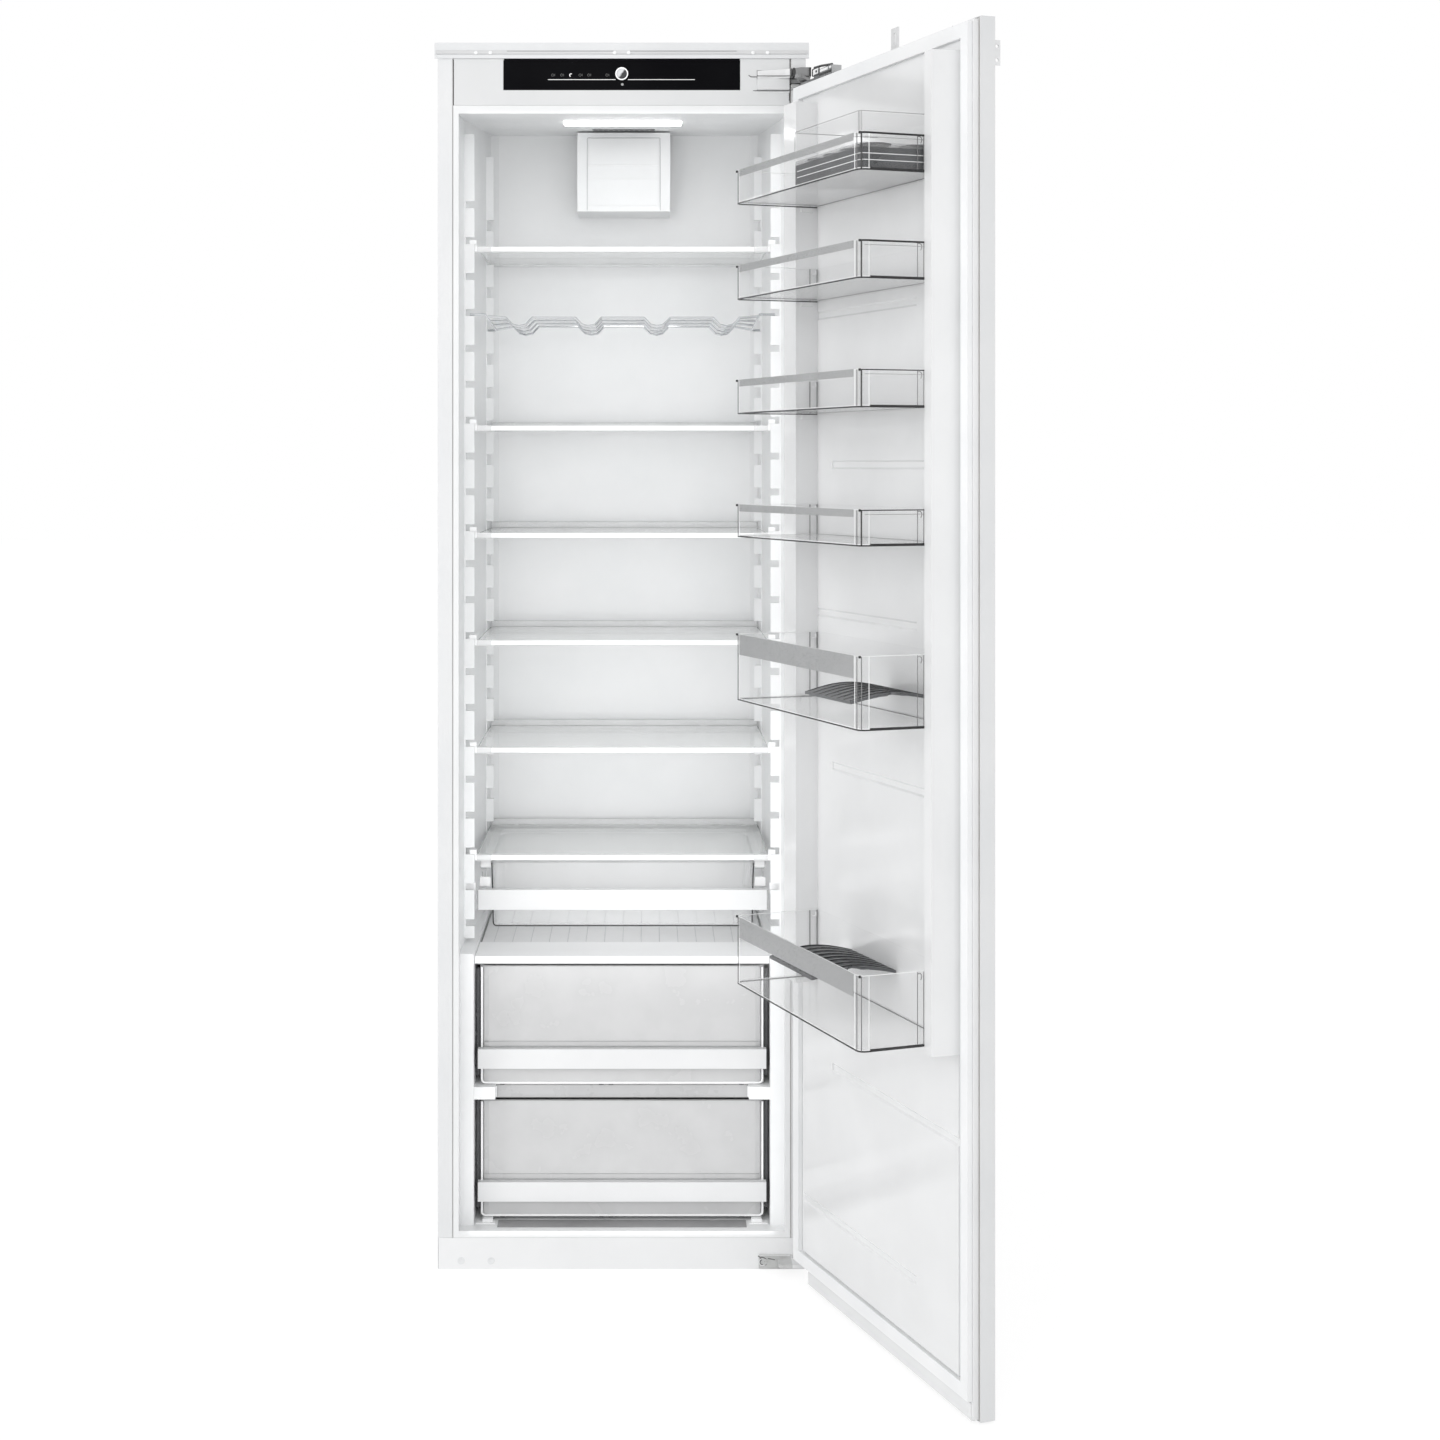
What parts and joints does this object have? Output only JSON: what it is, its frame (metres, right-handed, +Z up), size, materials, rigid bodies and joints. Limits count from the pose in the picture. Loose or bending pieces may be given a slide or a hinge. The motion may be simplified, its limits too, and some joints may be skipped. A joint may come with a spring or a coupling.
{
  "type": "column refrigerator",
  "caption": "Tall built-in larder refrigerator with an open right-hinged door, glass shelves, wire bottle rack, door bins and pull-out drawers.",
  "frame": {"origin": "centre of the cabinet's base, on the underside of the base plate", "axes": "+Z up along the cabinet's height, front towards -Y, hinge side at +X; the door stands 110.3 degrees open"},
  "size_m": [0.7357, 1.0299, 1.772],
  "materials": {
    "casing_paint": "satin white paint",
    "panel_grey": "grey coated sheet",
    "liner_white": "white thermoformed plastic",
    "foam": "rigid polyurethane foam",
    "trim_aluminium": "satin extruded aluminium",
    "fascia_white": "white plastic",
    "display_black": "black glass",
    "knob_metal": "polished metal",
    "lens_clear": "frosted lens",
    "shelf_glass": "clear safety glass",
    "shelf_trim_white": "white plastic",
    "rack_chrome": "chrome plated wire",
    "bin_clear": "clear plastic",
    "drawer_frosted": "translucent plastic",
    "handle_white": "white plastic",
    "insert_grey": "dark grey plastic",
    "gasket_rubber": "white magnetic seal",
    "hinge_steel": "plated steel",
    "compressor_black": "black paint",
    "motor_black": "black plastic"
  },
  "bodies": {
    "cabinet": {"casing_wrap": "casing_paint", "back_panel": "panel_grey", "base_plinth": "casing_paint", "insulation_foam": "foam", "liner": "liner_white", "top_trim": "trim_aluminium", "control_fascia": "fascia_white", "display_glass": "display_black", "light_lens": "lens_clear", "fan_housing": "liner_white", "fan_cover": "liner_white", "fan_motor": "motor_black", "bottle_rack": "rack_chrome", "drawer_hanger": "fascia_white", "crisper_cover_trim": "shelf_trim_white", "crisper_cover_glass": "shelf_glass", "compressor": "compressor_black", "drip_tray": "insert_grey", "condenser": "compressor_black", "hinge_upper_base": "hinge_steel", "hinge_lower_base": "hinge_steel", "shelf_glass_1": "shelf_glass", "shelf_front_trim_1": "shelf_trim_white", "shelf_glass_2": "shelf_glass", "shelf_front_trim_2": "shelf_trim_white", "shelf_glass_3": "shelf_glass", "shelf_front_trim_3": "shelf_trim_white", "shelf_glass_4": "shelf_glass", "shelf_front_trim_4": "shelf_trim_white", "shelf_glass_5": "shelf_glass", "shelf_front_trim_5": "shelf_trim_white", "shelf_glass_6": "shelf_glass", "shelf_front_trim_6": "shelf_trim_white"},
    "door": {"door_pan": "casing_paint", "door_foam": "foam", "door_liner": "liner_white", "door_gasket": "gasket_rubber", "door_bin_1": "bin_clear", "door_bin_2": "bin_clear", "door_bin_3": "bin_clear", "door_bin_4": "bin_clear", "door_bin_5": "bin_clear", "door_bin_6": "bin_clear", "egg_tray": "insert_grey", "egg_cover": "bin_clear", "bin_insert_5": "insert_grey", "bin_insert_6": "insert_grey", "hinge_upper_plate": "hinge_steel", "door_top_bracket": "hinge_steel", "door_side_bracket": "hinge_steel"},
    "hinge_link": {"hinge_upper_link": "rack_chrome"},
    "knob": {"control_knob": "knob_metal"},
    "rotor": {"fan_rotor": "fascia_white"},
    "upper_crisper": {"crisper_drawer_upper": "drawer_frosted", "crisper_handle_upper": "handle_white"},
    "lower_crisper": {"crisper_drawer_lower": "drawer_frosted", "crisper_handle_lower": "handle_white"},
    "shallow": {"shallow_drawer": "drawer_frosted", "shallow_drawer_handle": "handle_white"}
  },
  "joints": [
    {"name": "door_hinge", "type": "hinge", "parent": "cabinet", "child": "door", "pos_m": [0.2635, -0.2774, 0.86], "axis": [0, 0, 1], "range_deg": [-110.3, 4.7]},
    {"name": "hinge_link_turn", "type": "hinge", "parent": "cabinet", "child": "hinge_link", "pos_m": [0.2635, -0.2774, 1.714], "axis": [0, 0, 1], "range_deg": [-55.15, 2.35]},
    {"name": "knob_turn", "type": "hinge", "parent": "cabinet", "child": "knob", "pos_m": [0, -0.255, 1.7272], "axis": [0, -1, 0], "continuous": true},
    {"name": "fan_spin", "type": "hinge", "parent": "cabinet", "child": "rotor", "pos_m": [0, 0.1304, 1.625], "axis": [0, -1, 0], "continuous": true},
    {"name": "upper_crisper_slide", "type": "slide", "parent": "cabinet", "child": "upper_crisper", "axis": [0, -1, 0], "range_m": [0, 0.25]},
    {"name": "lower_crisper_slide", "type": "slide", "parent": "cabinet", "child": "lower_crisper", "axis": [0, -1, 0], "range_m": [0, 0.18]},
    {"name": "shallow_drawer_slide", "type": "slide", "parent": "cabinet", "child": "shallow", "axis": [0, -1, 0], "range_m": [0, 0.2]}
  ],
  "couplings": [
    {"joint": "hinge_link_turn", "follows": "door_hinge", "ratio": 0.5}
  ]
}
